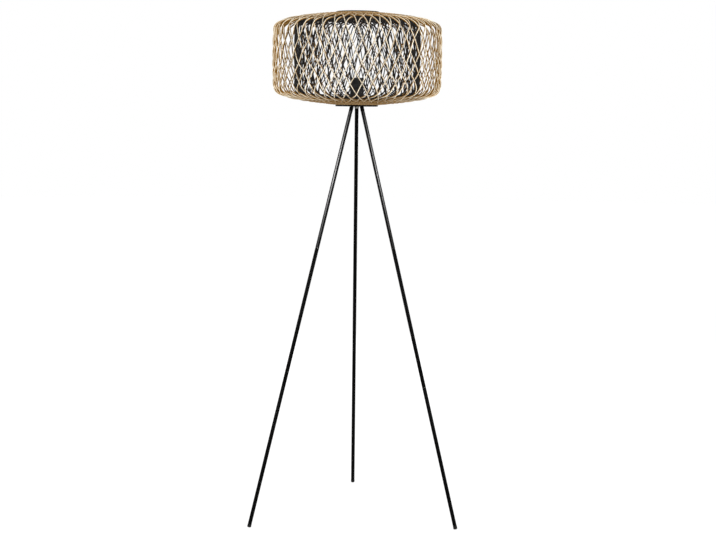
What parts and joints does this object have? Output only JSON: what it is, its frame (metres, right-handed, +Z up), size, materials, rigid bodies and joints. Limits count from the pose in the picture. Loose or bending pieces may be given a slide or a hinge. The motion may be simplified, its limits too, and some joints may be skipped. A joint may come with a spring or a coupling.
{
  "type": "floor lamp",
  "caption": "Floor lamp with a layered woven cane drum shade on a slim splayed tripod of screwed tubular steel legs.",
  "frame": {"origin": "on the floor, in the middle of the lamp's bounding box; the shade's axis stands 54.5 mm in front of it, because one foot reaches to the rear", "axes": "+Z up, +Y to the rear, along the rear leg; +X to the right as seen from the front"},
  "size_m": [0.6234, 0.6091, 1.523],
  "materials": {
    "black_steel": "satin black powder coat",
    "zinc": "zinc-plated turned steel",
    "brass": "plain stamped brass",
    "aluminium": "pressed sheet",
    "black_plastic": "moulded matte black",
    "rubber": "moulded black rubber",
    "ceramic": "glazed off-white porcelain",
    "natural_cane": "round rattan cane, natural, pale on the outside and tan where it is dense",
    "black_cane": "round rattan cane, stained black"
  },
  "bodies": {
    "root": {"leg_rear_socket": "black_steel", "leg_rear_head_bush": "zinc", "leg_rear_upper_tube": "black_steel", "leg_rear_upper_bush": "zinc", "leg_rear_middle_stud": "zinc", "leg_rear_middle_tube": "black_steel", "leg_rear_middle_bush": "zinc", "leg_rear_lower_stud": "zinc", "leg_rear_lower_tube": "black_steel", "leg_rear_foot_cap": "rubber", "leg_left_socket": "black_steel", "leg_left_head_bush": "zinc", "leg_left_upper_tube": "black_steel", "leg_left_upper_bush": "zinc", "leg_left_middle_stud": "zinc", "leg_left_middle_tube": "black_steel", "leg_left_middle_bush": "zinc", "leg_left_lower_stud": "zinc", "leg_left_lower_tube": "black_steel", "leg_left_foot_cap": "rubber", "leg_right_socket": "black_steel", "leg_right_head_bush": "zinc", "leg_right_upper_tube": "black_steel", "leg_right_upper_bush": "zinc", "leg_right_middle_stud": "zinc", "leg_right_middle_tube": "black_steel", "leg_right_middle_bush": "zinc", "leg_right_lower_stud": "zinc", "leg_right_lower_tube": "black_steel", "leg_right_foot_cap": "rubber", "hub_plate": "black_steel", "hub_nut": "zinc", "hub_nipple": "zinc", "cable_bush": "black_plastic", "holder_washer": "zinc", "holder_cap": "black_plastic", "holder_insulator": "ceramic", "holder_shell": "aluminium", "holder_skirt": "black_plastic", "holder_ring": "black_plastic", "centre_contact": "brass", "terminal_live": "brass", "terminal_screw_live": "zinc", "terminal_neutral": "brass", "terminal_screw_neutral": "zinc", "shade_bottom_frame": "black_steel", "shade_top_ring": "black_steel", "inner_weave": "black_cane", "outer_weave": "natural_cane"}
  },
  "joints": []
}
